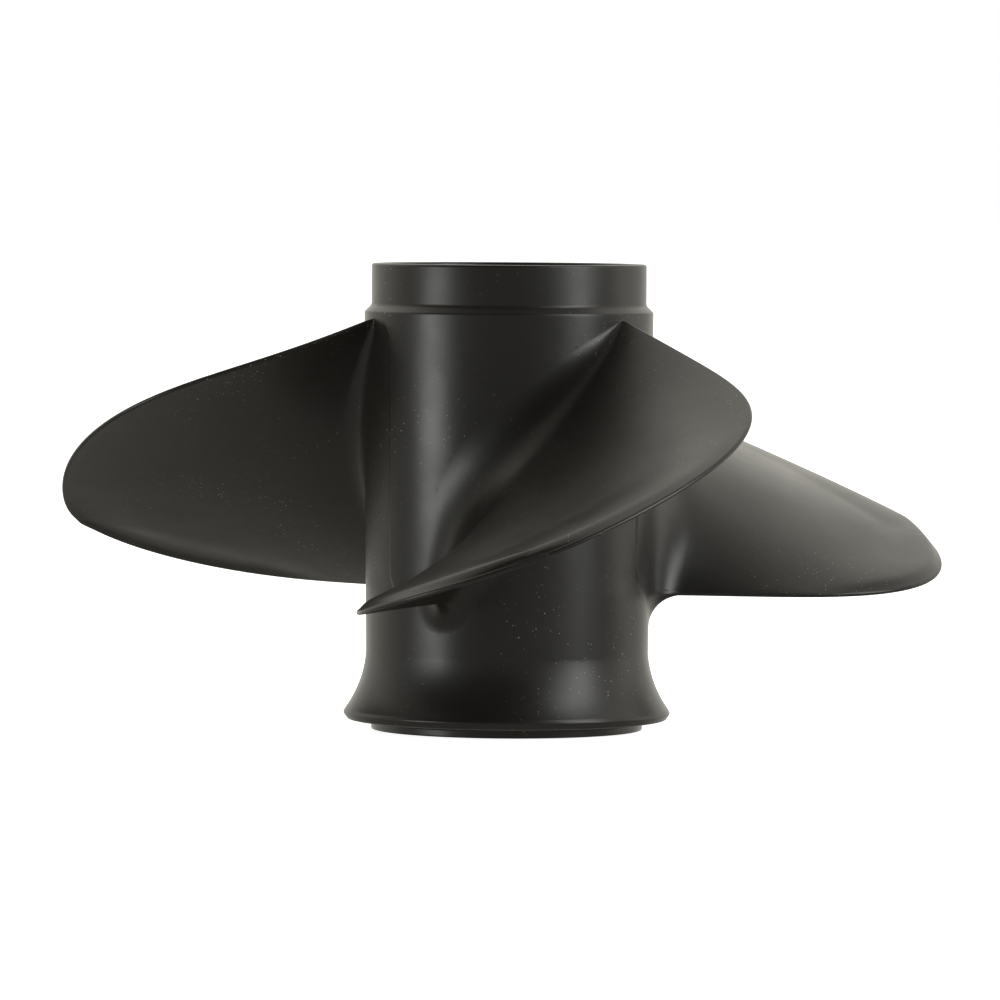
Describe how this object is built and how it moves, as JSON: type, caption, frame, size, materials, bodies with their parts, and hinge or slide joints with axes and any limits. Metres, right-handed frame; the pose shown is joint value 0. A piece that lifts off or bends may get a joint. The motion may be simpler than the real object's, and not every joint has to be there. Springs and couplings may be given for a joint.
{
  "type": "boat propeller",
  "caption": "Three-blade right-hand outboard propeller with a flared exhaust barrel, a keyed rubber drive hub and its shaft nut.",
  "frame": {"origin": "on the shaft axis, at the aft end plane of the barrel", "axes": "+Z forward along the shaft axis, towards the engine; -Y along the front blade's middle"},
  "size_m": [0.37, 0.3531, 0.1915],
  "materials": {
    "painted_casting": "satin",
    "housing_alloy": "satin",
    "rubber": "matte",
    "sleeve_brass": "satin",
    "collar_bronze": "satin",
    "stainless": "satin"
  },
  "bodies": {
    "drive_core": {"splined_sleeve": "sleeve_brass", "forward_thrust_washer": "collar_bronze", "aft_spacer": "collar_bronze", "plain_washer": "stainless", "castle_nut": "stainless", "cotter_pin": "stainless"},
    "propeller": {"propeller_casting": "painted_casting", "hub_housing": "housing_alloy", "rubber_cushion": "rubber"}
  },
  "joints": [
    {"name": "hub_windup", "type": "hinge", "parent": "drive_core", "child": "propeller", "pos_m": [0, 0, 0.122], "axis": [0, 0, 1], "range_deg": [-8, 8], "stiffness_Nm_per_rad": 1500}
  ]
}
